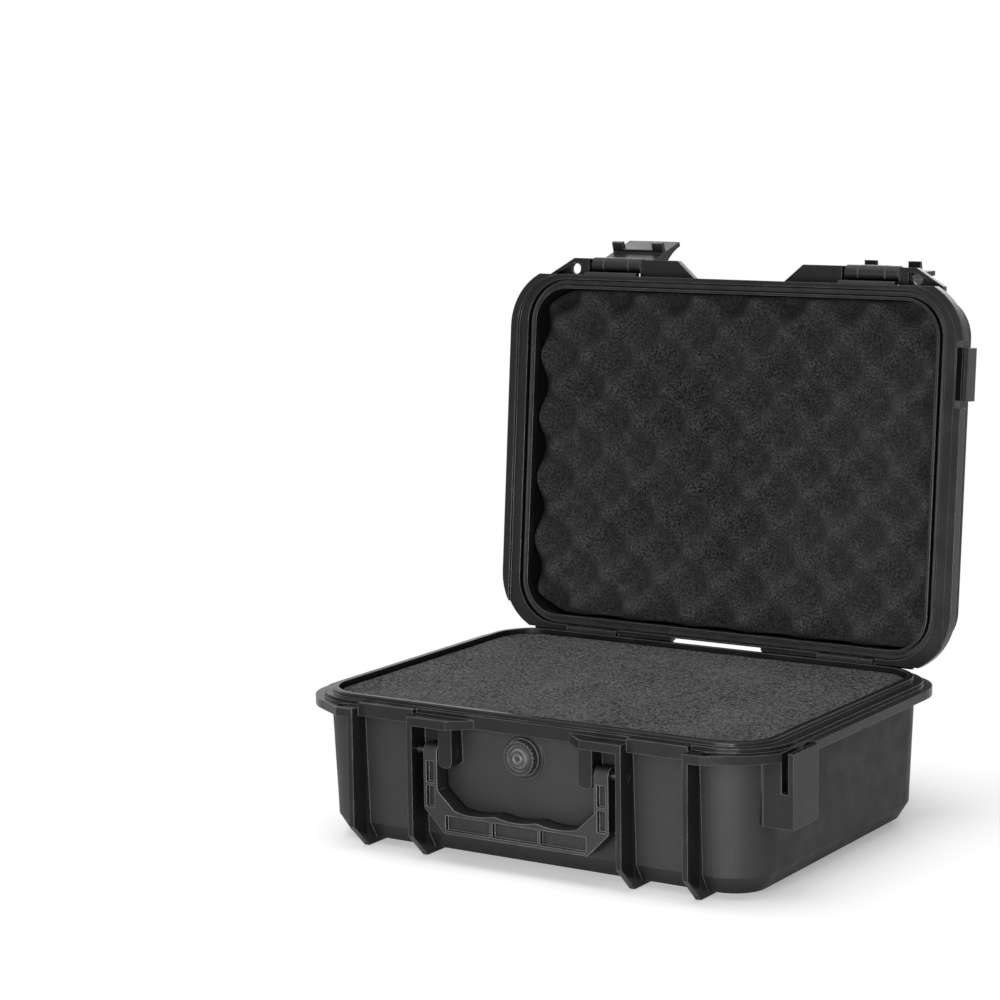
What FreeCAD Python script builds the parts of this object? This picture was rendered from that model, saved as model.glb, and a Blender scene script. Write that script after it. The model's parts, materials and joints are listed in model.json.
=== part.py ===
import FreeCAD, Part
import math
import os
import types
import Sketcher

# Waterproof hard case with a hinged lid, standing open.
# Millimetres. +X is to the right, +Y to the back and +Z up. The origin is on the ground
# under the middle of the base. The lid and what it carries are drawn closed, then turned open.

V = FreeCAD.Vector
X_AXIS = V(1, 0, 0)

SIZES = {
    # whole case
    "case_width": 280.0,
    "case_depth": 221.0,
    "base_height": 77.0,
    "lid_wall_height": 36.0,
    # walls
    "wall": 3.5,
    "floor_thick": 3.5,
    "rim_overhang": 10.5,
    "wall_setback": 12.0,
    "wall_corner": 25.0,
    "base_draft": 2.5,
    "base_chamfer_inset": 5.5,
    "base_chamfer_height": 9.0,
    "lid_draft": 1.7,
    "lid_chamfer_inset": 11.0,
    "lid_chamfer_height": 12.0,
    "lid_top_thick": 3.0,
    # rim outline
    "recess_depth": 9.5,
    "recess_slope": 11.0,
    "handle_tab": 23.5,
    "keeper_setback": 5.5,
    "corner_run": 34.0,
    "corner_rise": 20.4,
    "corner_radius": 34.0,
    "rim_drop": 7.0,
    "tab_thick": 4.6,
    "ring_setback": 5.0,
    "ring_corner": 30.0,
    "tongue_height": 2.2,
    "tongue_inset": 0.5,
    "tongue_round": 0.9,
    # lid flange and seal
    "flange_thick": 4.5,
    "lip_gap": 0.6,
    "lip_clearance": 0.4,
    "groove_depth": 4.0,
    "seal_clearance": 0.4,
    "seal_lip": 1.5,
    "gasket_thick": 1.6,
    "gasket_play": 0.4,
    # ribs
    "rib_thick": 3.0,
    "latch_inset": 60.65,
    "rib_foot": 3.0,
    "rib_knee": 12.5,
    "rib_toe": 13.0,
    "lid_tab_rise": 10.0,
    "lid_tab_thick": 4.5,
    "lid_ear_height": 8.0,
    "lid_rib_drop": 6.0,
    "lid_rib_rear": 2.0,
    "lid_rib_slope": 13.0,
    "rib_crown": 3.0,
    "tab_wall": 2.5,
    "tab_floor": 2.0,
    "padlock_radius": 3.0,
    "padlock_setback": 6.0,
    # lid panel
    "cross_rib_inner": 27.8,
    "cross_rib_outer": 13.8,
    "cross_rib_width": 2.0,
    "cross_rib_height": 1.6,
    "side_rib_pitch": 26.0,
    "label_margin": 27.0,
    "label_half_y": 20.0,
    "label_corner": 4.0,
    "label_depth": 0.8,
    # hinge
    "hinge_setback": 9.0,
    "hinge_rise": 1.5,
    "hinge_slit": 1.6,
    "knuckle_radius": 3.4,
    "knuckle_clearance": 0.6,
    "knuckle_half": 8.0,
    "knuckle_gap": 0.6,
    "ear_margin": 0.6,
    "hinge_pin_radius": 1.6,
    "running_clearance": 0.05,
    "lid_open_angle": 95.0,
    # latches
    "latch_pin_setback": 3.5,
    "latch_pin_rise": 5.0,
    "latch_pin_radius": 1.75,
    "latch_width": 33.0,
    "latch_side_play": 0.35,
    "latch_neck": 16.0,
    "latch_neck_drop": 9.0,
    "latch_hub": 4.4,
    "latch_body": 6.4,
    "latch_inner": 0.3,
    "latch_tip": 3.0,
    "latch_length": 42.0,
    "latch_scoop": 38.0,
    "latch_hook_reach": 5.6,
    "latch_hook_thick": 3.2,
    "latch_hook_play": 0.3,
    "latch_hook_width": 7.0,
    "latch_bead": 1.8,
    "latch_left_angle": 159.0,
    "latch_right_angle": 176.0,
    # handle
    "handle_rib_gap": 5.5,
    "handle_arm": 8.0,
    "handle_thick": 9.0,
    "handle_face": 2.5,
    "handle_drop": 13.0,
    "handle_end": 4.4,
    "handle_low": 16.2,
    "handle_grip": 12.3,
    "handle_bevel": 12.0,
    "handle_scallop_dip": 1.4,
    "handle_edge": 1.6,
    "handle_panel": 2.4,
    "handle_pin_radius": 1.75,
    "lug_gap": 1.0,
    "lug_width": 8.0,
    "lug_face": 2.5,
    "lug_height": 20.0,
    "lug_round": 3.0,
    # strap lugs
    "strap_front": 24.5,
    "strap_length": 26.0,
    "strap_proud": 3.0,
    "strap_low": 37.5,
    "strap_slot": 3.5,
    "strap_slot_depth": 20.0,
    "lid_strap_front": 41.0,
    "lid_strap_length": 28.0,
    "lid_strap_proud": 2.5,
    "lid_strap_height": 10.0,
    "lid_strap_slot_height": 7.0,
    # pressure valve
    "valve_drop": 18.0,
    "valve_boss_radius": 11.5,
    "valve_boss_proud": 0.8,
    "valve_shank_radius": 6.0,
    "valve_bore_radius": 3.2,
    "valve_flange_radius": 9.6,
    "valve_flange_thick": 1.0,
    "valve_inside": 12.0,
    "valve_inner_boss": 10.5,
    "valve_washer_thick": 1.0,
    "valve_washer_radius": 9.0,
    "valve_nut_flat": 7.5,
    "valve_nut_thick": 3.5,
    "valve_play": 0.3,
    "knob_radius": 8.75,
    "knob_thick": 3.2,
    "knob_ring_outer": 6.4,
    "knob_ring_inner": 5.2,
    "knob_ring_depth": 0.7,
    "knob_notch": 0.55,
    "o_ring_radius": 0.75,
    "o_ring_play": 0.1,
    # foam
    "foam_gap": 0.4,
    "pad_thick": 9.5,
    "foam_below_rim": 0.4,
    "valve_relief": 12.0,
    "egg_pitch_x": 35.7,
    "egg_pitch_y": 35.2,
    "egg_shift_x": 3.5,
    "egg_shift_y": 1.7,
    "egg_height": 14.0,
    "egg_above_rim": 1.0,
}

KNOB_NOTCHES = 24
GRIP_PANELS = 3


class Size:
    """A length with the formula that ties it to the sheet."""

    def __init__(self, value, formula):
        self.value = value
        self.formula = formula

    def __add__(self, other):
        other = size_of(other)
        return Size(self.value + other.value, f"({self.formula} + {other.formula})")

    def __sub__(self, other):
        other = size_of(other)
        return Size(self.value - other.value, f"({self.formula} - {other.formula})")

    def __mul__(self, other):
        other = size_of(other)
        return Size(self.value * other.value, f"({self.formula} * {other.formula})")

    def __truediv__(self, other):
        other = size_of(other)
        return Size(self.value / other.value, f"({self.formula} / {other.formula})")

    def __neg__(self):
        return Size(-self.value, f"(0 - {self.formula})")

    def root(self):
        return Size(math.sqrt(self.value), f"sqrt({self.formula})")


def size_of(item):
    return item if isinstance(item, Size) else Size(float(item), str(float(item)))


doc = FreeCAD.newDocument("HardCase")
sheet = doc.addObject("Spreadsheet::Sheet", "Sizes")
for row, (alias, number) in enumerate(SIZES.items(), start=1):
    sheet.set(f"A{row}", alias)
    sheet.set(f"B{row}", str(number))
    sheet.setAlias(f"B{row}", alias)
doc.recompute()
d = types.SimpleNamespace(**{alias: Size(number, f"Sizes.{alias}") for alias, number in SIZES.items()})
ZERO = size_of(0)

# Plan positions, measured from the middle of the case
half_width = d.case_width / 2
reach = d.case_depth / 2
recess_y = reach - d.recess_depth
keeper_y = reach - d.keeper_setback
wall_x = half_width - d.rim_overhang
wall_y = reach - d.wall_setback
inner_x = wall_x - d.wall
inner_y = wall_y - d.wall
inner_corner = d.wall_corner - d.wall
latch_x = half_width - d.latch_inset
rib_gap = d.latch_width + d.latch_side_play * 2 + d.rib_thick
rib_in_x = latch_x - rib_gap / 2
rib_out_x = latch_x + rib_gap / 2
bay_in_x = rib_in_x + d.rib_thick / 2
bay_out_x = rib_out_x - d.rib_thick / 2
tab_start_x = bay_in_x - d.handle_tab
recess_x = tab_start_x - d.recess_slope
tab_end_x = half_width - d.corner_run
padlock_x = tab_end_x
padlock_y = reach - d.padlock_setback

# The slanted corner line meets the side in an arc that is tangent to both
corner_hyp = (d.corner_run * d.corner_run + d.corner_rise * d.corner_rise).root()
corner_tangent = d.corner_radius * (corner_hyp - d.corner_rise) / d.corner_run
corner_meet_y = reach - d.corner_rise
arc_start_x = half_width - corner_tangent * d.corner_run / corner_hyp
arc_start_y = corner_meet_y + corner_tangent * d.corner_rise / corner_hyp
arc_end_y = corner_meet_y - corner_tangent
flange_corner_x = tab_end_x + d.recess_depth * d.corner_run / d.corner_rise

# Heights above the ground
chamfer_top = d.rib_foot + d.base_chamfer_height
floor_z = d.rib_foot + d.floor_thick
rim_low = d.base_height - d.rim_drop
tab_top = rim_low + d.tab_thick
parting = d.base_height
tongue_top = parting + d.tongue_height
flange_top = parting + d.flange_thick
lip_low = tab_top + d.lip_gap
groove_top = parting + d.groove_depth
mouth_top = groove_top + d.seal_lip
lid_tab_low = parting + d.lid_tab_rise
lid_wall_top = parting + d.lid_wall_height
panel_z = lid_wall_top + d.lid_chamfer_height
lid_rib_top = panel_z + d.rib_crown
lid_ceiling = panel_z - d.lid_top_thick

# Joint axes
hinge_y = reach - d.hinge_setback
hinge_z = parting + d.hinge_rise
latch_pin_y = reach - d.latch_pin_setback
latch_pin_z = lid_tab_low + d.latch_pin_rise
handle_front = reach - d.handle_face
handle_axis_y = handle_front - d.handle_thick / 2
handle_axis_z = rim_low - d.handle_drop
handle_half = rib_in_x - d.rib_thick / 2 - d.handle_rib_gap
lug_out_x = handle_half - d.handle_arm - d.lug_gap
lug_in_x = lug_out_x - d.lug_width
valve_z = parting - d.valve_drop

# Seal between the base's tongue and the lid's groove
tongue_x = wall_x - d.tongue_inset
tongue_y = wall_y - d.tongue_inset
tongue_corner = d.wall_corner - d.tongue_inset
groove_out = d.seal_clearance
mouth_inset = d.seal_clearance + d.seal_lip
mouth_x = inner_x - mouth_inset
mouth_y = inner_y - mouth_inset
mouth_corner = inner_corner - mouth_inset

# Valve stack, as distances in front of the case's middle
boss_front = wall_y + d.valve_boss_proud
bush_front = boss_front + d.valve_flange_thick
bush_back = boss_front - d.valve_inside
knob_back = bush_front + d.valve_play
knob_front = knob_back + d.knob_thick
wall_inside = inner_y - d.base_draft
ring_radius = d.valve_shank_radius + d.o_ring_play + d.o_ring_radius
seat_radius = ring_radius + d.o_ring_radius + d.o_ring_play
seat_depth = d.o_ring_radius * 2 + d.o_ring_play

lid_open = FreeCAD.Placement(
    V(0, 0, 0),
    FreeCAD.Rotation(X_AXIS, -d.lid_open_angle.value),
    V(0, hinge_y.value, hinge_z.value),
)


# Drawing helpers

def new_body(label):
    body = doc.addObject("PartDesign::Body", label)
    body.Label = label
    return body


def origin_plane(body, role):
    return next(item for item in body.Origin.OriginFeatures if item.Role == role)


def sketch_on(body, name, role, offset=ZERO):
    sketch = body.newObject("Sketcher::SketchObject", name + "Sketch")
    sketch.AttachmentSupport = [(origin_plane(body, role), "")]
    sketch.MapMode = "FlatFace"
    sketch.setExpression("AttachmentOffset.Base.z", offset.formula)
    return sketch


def tie(sketch, kind, geometry, point, size):
    index = sketch.addConstraint(Sketcher.Constraint(kind, -1, 1, geometry, point, size.value))
    sketch.setExpression(f"Constraints[{index}]", size.formula)


def tie_radius(sketch, geometry, size):
    index = sketch.addConstraint(Sketcher.Constraint("Radius", geometry, size.value))
    sketch.setExpression(f"Constraints[{index}]", size.formula)


def arc_between(start, end, radius, hollow):
    """Arc from start to end that bulges to the right of the way, or to the left if hollow."""
    chord = end - start
    rise = math.sqrt(max(radius * radius - chord.Length ** 2 / 4, 0.0))
    left = V(-chord.y, chord.x, 0).normalize()
    centre = (start + end) / 2 + left * (-rise if hollow else rise)
    first, last = (end, start) if hollow else (start, end)
    angles = [math.atan2(point.y - centre.y, point.x - centre.x) for point in (first, last)]
    return Part.ArcOfCircle(Part.Circle(centre, V(0, 0, 1), radius), *angles)


def outline(sketch, corners):
    """Closed loop, anticlockwise. A corner is x, y, and a radius where an arc leads to the next
    corner; a fourth item, True, makes that arc hollow."""
    spots = [V(corner[0].value, corner[1].value, 0) for corner in corners]
    ends = []
    for index, corner in enumerate(corners):
        here, there = spots[index], spots[(index + 1) % len(spots)]
        hollow = len(corner) > 3 and corner[3]
        if len(corner) == 2:
            geometry = sketch.addGeometry(Part.LineSegment(here, there))
        else:
            geometry = sketch.addGeometry(arc_between(here, there, corner[2].value, hollow))
        ends.append((geometry, 2, 1) if hollow else (geometry, 1, 2))
    for index, corner in enumerate(corners):
        geometry, first, last = ends[index]
        following, following_first, _ = ends[(index + 1) % len(ends)]
        sketch.addConstraint(Sketcher.Constraint("Coincident", geometry, last, following, following_first))
        tie(sketch, "DistanceX", geometry, first, corner[0])
        tie(sketch, "DistanceY", geometry, first, corner[1])
        if len(corner) > 2:
            tie_radius(sketch, geometry, corner[2])
    return sketch


def rectangle(sketch, x_low, y_low, x_high, y_high):
    return outline(sketch, [(x_low, y_low), (x_high, y_low), (x_high, y_high), (x_low, y_high)])


def rounded_rectangle(sketch, half_x, half_y, radius):
    x_flat = half_x - radius
    y_flat = half_y - radius
    return outline(sketch, [
        (-x_flat, -half_y), (x_flat, -half_y, radius),
        (half_x, -y_flat), (half_x, y_flat, radius),
        (x_flat, half_y), (-x_flat, half_y, radius),
        (-half_x, y_flat), (-half_x, -y_flat, radius),
    ])


def disc(sketch, x, y, radius):
    geometry = sketch.addGeometry(Part.Circle(V(x.value, y.value, 0), V(0, 0, 1), radius.value))
    tie(sketch, "DistanceX", geometry, 3, x)
    tie(sketch, "DistanceY", geometry, 3, y)
    tie_radius(sketch, geometry, radius)
    return sketch


def extrude(body, kind, name, sketch, length, side="One side", back=False):
    feature = body.newObject("PartDesign::" + kind, name)
    feature.Profile = sketch
    feature.setExpression("Length", length.formula)
    feature.SideType = side
    feature.Reversed = back
    sketch.Visibility = False
    return feature


def pad(body, name, sketch, length, side="One side", back=False):
    return extrude(body, "Pad", name, sketch, length, side, back)


def pocket(body, name, sketch, length, side="One side", back=False):
    return extrude(body, "Pocket", name, sketch, length, side, back)


def loft(body, kind, name, levels):
    """Straight-sided loft through rounded rectangles: height, half width, half depth, radius."""
    profiles = []
    for number, (height, half_x, half_y, radius) in enumerate(levels):
        sketch = sketch_on(body, f"{name}{number}", "XY_Plane", height)
        profiles.append(rounded_rectangle(sketch, half_x, half_y, radius))
    feature = body.newObject("PartDesign::" + kind, name)
    feature.Profile = profiles[0]
    feature.Sections = profiles[1:]
    feature.Ruled = True
    return feature


def mirrored(body, name, features, role):
    feature = body.newObject("PartDesign::Mirrored", name)
    feature.Originals = features
    feature.MirrorPlane = (origin_plane(body, role), [""])
    body.Tip = feature
    return feature


def edges_of(feature, wanted):
    doc.recompute()
    return [f"Edge{number}" for number, edge in enumerate(feature.Shape.Edges, start=1) if wanted(edge)]


def fillet(body, name, base, wanted, radius):
    names = edges_of(base, wanted)
    feature = body.newObject("PartDesign::Fillet", name)
    feature.Base = (base, names)
    feature.setExpression("Radius", radius.formula)
    return feature


def rim_outline(sketch, front):
    """Whole rim from the corners of its front right quarter, up to the corner arc."""
    loop = []
    for right, back in ((True, False), (True, True), (False, True), (False, False)):
        quarter = [(x if right else -x, y if back else -y)
                   for x, y in [*front, (arc_start_x, arc_start_y), (half_width, arc_end_y)]]
        if right == back:
            quarter.reverse()
            quarter[0] += (d.corner_radius,)
        else:
            quarter[-2] += (d.corner_radius,)
        loop += quarter
    return outline(sketch, loop)


# Base

def make_base_shell():
    body = new_body("base_shell")
    draft_x = wall_x - d.base_draft
    draft_y = wall_y - d.base_draft
    draft_corner = d.wall_corner - d.base_draft
    loft(body, "AdditiveLoft", "Tub", [
        (d.rib_foot, draft_x - d.base_chamfer_inset, draft_y - d.base_chamfer_inset,
         draft_corner - d.base_chamfer_inset),
        (chamfer_top, draft_x, draft_y, draft_corner),
        (rim_low, wall_x, wall_y, d.wall_corner),
    ])

    # Rim with tabs in front and at the back, a raised ring and the sealing tongue
    pad(body, "Flange", rim_outline(sketch_on(body, "Flange", "XY_Plane", rim_low), [
        (recess_x, recess_y), (tab_start_x, reach), (bay_in_x, reach), (bay_in_x, keeper_y),
        (bay_out_x, keeper_y), (bay_out_x, reach), (tab_end_x, reach),
    ]), d.tab_thick)
    ring = sketch_on(body, "Ring", "XY_Plane", tab_top)
    rounded_rectangle(ring, half_width - d.ring_setback, recess_y, d.ring_corner)
    pad(body, "Ring", ring, parting - tab_top)
    keeper = pad(body, "Keeper", rectangle(
        sketch_on(body, "Keeper", "XY_Plane", tab_top),
        bay_in_x, -keeper_y, bay_out_x, -wall_y), parting - tab_top)
    mirrored(body, "KeeperLeft", [keeper], "YZ_Plane")
    tongue = sketch_on(body, "Tongue", "XY_Plane", parting)
    rounded_rectangle(tongue, tongue_x, tongue_y, tongue_corner)
    tongue_pad = pad(body, "Tongue", tongue, d.tongue_height)

    # Its outer edge is rounded, where the seal runs over it
    def on_top(edge):
        return edge.BoundBox.ZMin > tongue_top.value - 0.01

    fillet(body, "TongueRound", tongue_pad, on_top, d.tongue_round)

    # Full-height ribs that wrap the front, the underside and the back, with one cross rib
    toe_y = reach - d.rib_toe
    for name, rib_x in (("RibIn", rib_in_x), ("RibOut", rib_out_x)):
        profile = outline(sketch_on(body, name, "YZ_Plane", rib_x), [
            (-toe_y, ZERO), (toe_y, ZERO), (reach, d.rib_knee), (reach, rim_low),
            (-reach, rim_low), (-reach, d.rib_knee),
        ])
        rib = pad(body, name, profile, d.rib_thick, "Symmetric")
        mirrored(body, name + "Left", [rib], "YZ_Plane")
    half_rib = d.rib_thick / 2
    cross = rectangle(sketch_on(body, "CrossRib", "XY_Plane"), -rib_out_x, -half_rib, rib_out_x, half_rib)
    pad(body, "CrossRib", cross, d.rib_foot)

    # Handle lugs with rounded feet
    lug_low = rim_low - d.lug_height
    lug = pad(body, "Lug", outline(sketch_on(body, "Lug", "XZ_Plane", reach - d.lug_face), [
        (lug_in_x + d.lug_round, lug_low), (lug_out_x - d.lug_round, lug_low, d.lug_round),
        (lug_out_x, lug_low + d.lug_round), (lug_out_x, rim_low),
        (lug_in_x, rim_low), (lug_in_x, lug_low + d.lug_round, d.lug_round),
    ]), reach - d.lug_face - inner_y, back=True)
    mirrored(body, "LugLeft", [lug], "YZ_Plane")

    # Strap lug on the right side, with a slot that is open at the top
    strap_front_y = reach - d.strap_front
    strap_back_y = strap_front_y - d.strap_length
    pad(body, "Strap", rectangle(
        sketch_on(body, "Strap", "XY_Plane", d.strap_low),
        inner_x, -strap_front_y, half_width + d.strap_proud, -strap_back_y), tab_top - d.strap_low)
    pocket(body, "StrapSlot", rectangle(
        sketch_on(body, "StrapSlot", "XY_Plane", tab_top),
        half_width - d.strap_slot, -strap_front_y - d.strap_slot,
        half_width, -strap_back_y + d.strap_slot), d.strap_slot_depth)

    # Flat boss in front of the wall for the pressure valve
    boss = disc(sketch_on(body, "ValveBoss", "XZ_Plane", boss_front), ZERO, valve_z, d.valve_boss_radius)
    pad(body, "ValveBoss", boss, boss_front - inner_y, back=True)

    # Two pairs of hinge ears at the back, with room between them for the lid's knuckles
    ear_in = latch_x - d.knuckle_half - d.knuckle_gap
    ear_out = latch_x + d.knuckle_half + d.knuckle_gap
    ear_low_y = hinge_y - d.knuckle_radius
    ear_high_y = hinge_y + d.knuckle_radius
    ears = []
    for name, low_x, high_x in (("EarIn", bay_in_x + d.ear_margin, ear_in),
                                ("EarOut", ear_out, bay_out_x - d.ear_margin)):
        profile = outline(sketch_on(body, name, "YZ_Plane", low_x), [
            (ear_low_y, rim_low), (ear_high_y, rim_low), (ear_high_y, hinge_z, d.knuckle_radius),
            (hinge_y, hinge_z + d.knuckle_radius, d.knuckle_radius), (ear_low_y, hinge_z),
        ])
        ears.append(pad(body, name, profile, high_x - low_x))
    mirrored(body, "EarsLeft", ears, "YZ_Plane")
    room = disc(sketch_on(body, "KnuckleRoom", "YZ_Plane", ear_in),
                hinge_y, hinge_z, d.knuckle_radius + d.knuckle_clearance)
    knuckle_room = pocket(body, "KnuckleRoom", room, ear_out - ear_in, back=True)
    hole = disc(sketch_on(body, "HingeHole", "YZ_Plane", bay_in_x), hinge_y, hinge_z, d.hinge_pin_radius)
    hinge_hole = pocket(body, "HingeHole", hole, bay_out_x - bay_in_x, back=True)
    mirrored(body, "HingeCutsLeft", [knuckle_room, hinge_hole], "YZ_Plane")

    # Inside of the tub
    loft(body, "SubtractiveLoft", "Cavity", [
        (floor_z, inner_x - d.base_draft - d.base_chamfer_inset,
         inner_y - d.base_draft - d.base_chamfer_inset,
         inner_corner - d.base_draft - d.base_chamfer_inset),
        (floor_z + d.base_chamfer_height, inner_x - d.base_draft, inner_y - d.base_draft,
         inner_corner - d.base_draft),
        (tongue_top, inner_x, inner_y, inner_corner),
    ])

    # Holes for the padlocks, the handle pins and the valve
    padlock = pocket(body, "Padlock", disc(
        sketch_on(body, "Padlock", "XY_Plane", tab_top),
        padlock_x, -padlock_y, d.padlock_radius), d.tab_thick)
    handle_hole = pocket(body, "HandleHole", disc(
        sketch_on(body, "HandleHole", "YZ_Plane", lug_in_x),
        -handle_axis_y, handle_axis_z, d.handle_pin_radius), bay_in_x - lug_in_x, back=True)
    mirrored(body, "HolesLeft", [padlock, handle_hole], "YZ_Plane")
    inner_boss = disc(sketch_on(body, "InnerBoss", "XZ_Plane", wall_inside), ZERO, valve_z,
                      d.valve_inner_boss)
    pad(body, "InnerBoss", inner_boss, inner_y - wall_inside)
    valve_hole = disc(sketch_on(body, "ValveHole", "XZ_Plane", boss_front), ZERO, valve_z,
                      d.valve_shank_radius + d.running_clearance)
    pocket(body, "ValveHole", valve_hole, boss_front - wall_inside)
    seat = disc(sketch_on(body, "SealSeat", "XZ_Plane", boss_front), ZERO, valve_z, seat_radius)
    pocket(body, "SealSeat", seat, seat_depth)
    return body


# Lid, drawn closed

def make_lid_shell():
    body = new_body("lid_shell")
    draft_x = wall_x - d.lid_draft
    draft_y = wall_y - d.lid_draft
    draft_corner = d.wall_corner - d.lid_draft
    loft(body, "AdditiveLoft", "Dome", [
        (parting, wall_x, wall_y, d.wall_corner),
        (lid_wall_top, draft_x, draft_y, draft_corner),
        (panel_z, draft_x - d.lid_chamfer_inset, draft_y - d.lid_chamfer_inset,
         draft_corner - d.lid_chamfer_inset),
    ])

    # Flange, with a lip that hangs over the base's ring at the sides and the front corners
    flange = rim_outline(sketch_on(body, "Flange", "XY_Plane", lip_low), [(flange_corner_x, recess_y)])
    pad(body, "Flange", flange, flange_top - lip_low)
    lip_x = half_width - d.ring_setback + d.lip_clearance
    lip_y = recess_y + d.lip_clearance
    lip_corner = d.ring_corner + d.lip_clearance
    lip = outline(sketch_on(body, "LipRoom", "XY_Plane", lip_low), [
        (-(lip_x - lip_corner), -lip_y), (lip_x - lip_corner, -lip_y, lip_corner),
        (lip_x, -(lip_y - lip_corner)), (lip_x, reach), (-lip_x, reach),
        (-lip_x, -(lip_y - lip_corner), lip_corner),
    ])
    pocket(body, "LipRoom", lip, parting - lip_low, back=True)

    # Slit at the middle of the back edge, between the hinges
    slit_y = recess_y - d.hinge_slit
    pocket(body, "HingeSlit", rectangle(
        sketch_on(body, "HingeSlit", "XY_Plane", lip_low),
        -recess_x, slit_y, recess_x, reach), flange_top - lip_low, back=True)

    # Rib pairs over the front, the top and the back
    ear_top = lid_tab_low + d.lid_ear_height
    rib_y = reach - d.lid_rib_drop
    crown_y = rib_y - d.lid_rib_slope
    rear_y = hinge_y + d.lid_rib_rear
    for name, rib_x in (("RibIn", rib_in_x), ("RibOut", rib_out_x)):
        profile = outline(sketch_on(body, name, "YZ_Plane", rib_x), [
            (-reach, lid_tab_low), (rear_y, lid_tab_low), (rear_y, lid_rib_top - d.lid_rib_slope),
            (rear_y - d.lid_rib_slope, lid_rib_top), (-crown_y, lid_rib_top),
            (-rib_y, lid_rib_top - d.lid_rib_slope), (-rib_y, ear_top + d.lid_rib_drop),
            (-reach, ear_top),
        ])
        rib = pad(body, name, profile, d.rib_thick, "Symmetric")
        mirrored(body, name + "Left", [rib], "YZ_Plane")

    # Tabs beside the latches; the outer ones are hollow below and take a padlock
    tabs = []
    for name, corners in (
        ("HandleTab", [(recess_x, -inner_y), (recess_x, -recess_y), (tab_start_x, -reach),
                       (bay_in_x, -reach), (bay_in_x, -inner_y)]),
        ("PadlockTab", [(bay_out_x, -inner_y), (bay_out_x, -reach), (tab_end_x, -reach),
                        (flange_corner_x, -recess_y), (flange_corner_x, -(wall_y - d.wall_corner / 2))]),
    ):
        sketch = outline(sketch_on(body, name, "XY_Plane", lid_tab_low), corners)
        tabs.append(pad(body, name, sketch, d.lid_tab_thick))
    mirrored(body, "TabsLeft", tabs, "YZ_Plane")
    hollow_in = rib_out_x + d.rib_thick / 2 + d.tab_wall
    hollow = pocket(body, "TabHollow", outline(sketch_on(body, "TabHollow", "XY_Plane", lid_tab_low), [
        (hollow_in, -recess_y), (hollow_in, -(reach - d.tab_wall)),
        (tab_end_x, -(reach - d.tab_wall)),
        (flange_corner_x - d.tab_wall * d.corner_run / d.corner_rise, -recess_y),
    ]), d.lid_tab_thick - d.tab_floor, back=True)
    padlock = pocket(body, "Padlock", disc(
        sketch_on(body, "Padlock", "XY_Plane", lid_tab_low + d.lid_tab_thick),
        padlock_x, -padlock_y, d.padlock_radius), d.tab_floor)
    mirrored(body, "TabCutsLeft", [hollow, padlock], "YZ_Plane")

    # Raised cross ribs, short side ribs and a bare shallow field on top
    panel_x = draft_x - d.lid_chamfer_inset
    panel_y = draft_y - d.lid_chamfer_inset
    half_cross = d.cross_rib_width / 2
    cross_ribs = []
    for name, rib_y_place in (("CrossInner", panel_y - d.cross_rib_inner),
                              ("CrossOuter", panel_y - d.cross_rib_outer)):
        sketch = rectangle(sketch_on(body, name, "XY_Plane", lid_ceiling),
                           -panel_x, -rib_y_place - half_cross, panel_x, -rib_y_place + half_cross)
        cross_ribs.append(pad(body, name, sketch, d.lid_top_thick + d.cross_rib_height))
    mirrored(body, "CrossBack", cross_ribs, "XZ_Plane")
    side_ribs = []
    for number in (-1, 0, 1):
        place = d.side_rib_pitch * number
        sketch = rectangle(sketch_on(body, f"SideRib{number + 1}", "XY_Plane", lid_ceiling),
                           rib_out_x, place - half_cross, panel_x, place + half_cross)
        side_ribs.append(pad(body, f"SideRib{number + 1}", sketch, d.lid_top_thick + d.cross_rib_height))
    mirrored(body, "SideRibsLeft", side_ribs, "YZ_Plane")
    label = sketch_on(body, "Label", "XY_Plane", panel_z)
    rounded_rectangle(label, rib_in_x - d.label_margin, d.label_half_y, d.label_corner)
    pocket(body, "Label", label, d.label_depth)

    # Strap lug on the right side, with a slot that opens at the flange
    strap_front_y = reach - d.lid_strap_front
    strap_back_y = strap_front_y - d.lid_strap_length
    pad(body, "Strap", rectangle(
        sketch_on(body, "Strap", "XY_Plane", parting),
        inner_x, -strap_front_y, half_width + d.lid_strap_proud, -strap_back_y), d.lid_strap_height)
    pocket(body, "StrapSlot", rectangle(
        sketch_on(body, "StrapSlot", "XY_Plane", lip_low),
        half_width - d.strap_slot, -strap_front_y - d.strap_slot,
        half_width, -strap_back_y + d.strap_slot), d.lid_strap_slot_height, back=True)

    # Hinge knuckles, and room for the base's ears beside them
    room_radius = d.knuckle_radius + d.knuckle_clearance
    rooms = []
    for name, low_x, high_x in (("EarRoomIn", bay_in_x, latch_x - d.knuckle_half),
                                ("EarRoomOut", latch_x + d.knuckle_half, bay_out_x)):
        sketch = disc(sketch_on(body, name, "YZ_Plane", low_x), hinge_y, hinge_z, room_radius)
        rooms.append(pocket(body, name, sketch, high_x - low_x, back=True))
    mirrored(body, "EarRoomsLeft", rooms, "YZ_Plane")
    radius = d.knuckle_radius
    knuckle_profile = outline(sketch_on(body, "Knuckle", "YZ_Plane", latch_x), [
        (inner_y, hinge_z), (hinge_y - radius, hinge_z, radius),
        (hinge_y, hinge_z - radius, radius), (hinge_y + radius, hinge_z, radius),
        (hinge_y, hinge_z + radius), (inner_y, hinge_z + radius),
    ])
    knuckle = pad(body, "Knuckle", knuckle_profile, d.knuckle_half * 2, "Symmetric")
    mirrored(body, "KnuckleLeft", [knuckle], "YZ_Plane")

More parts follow.
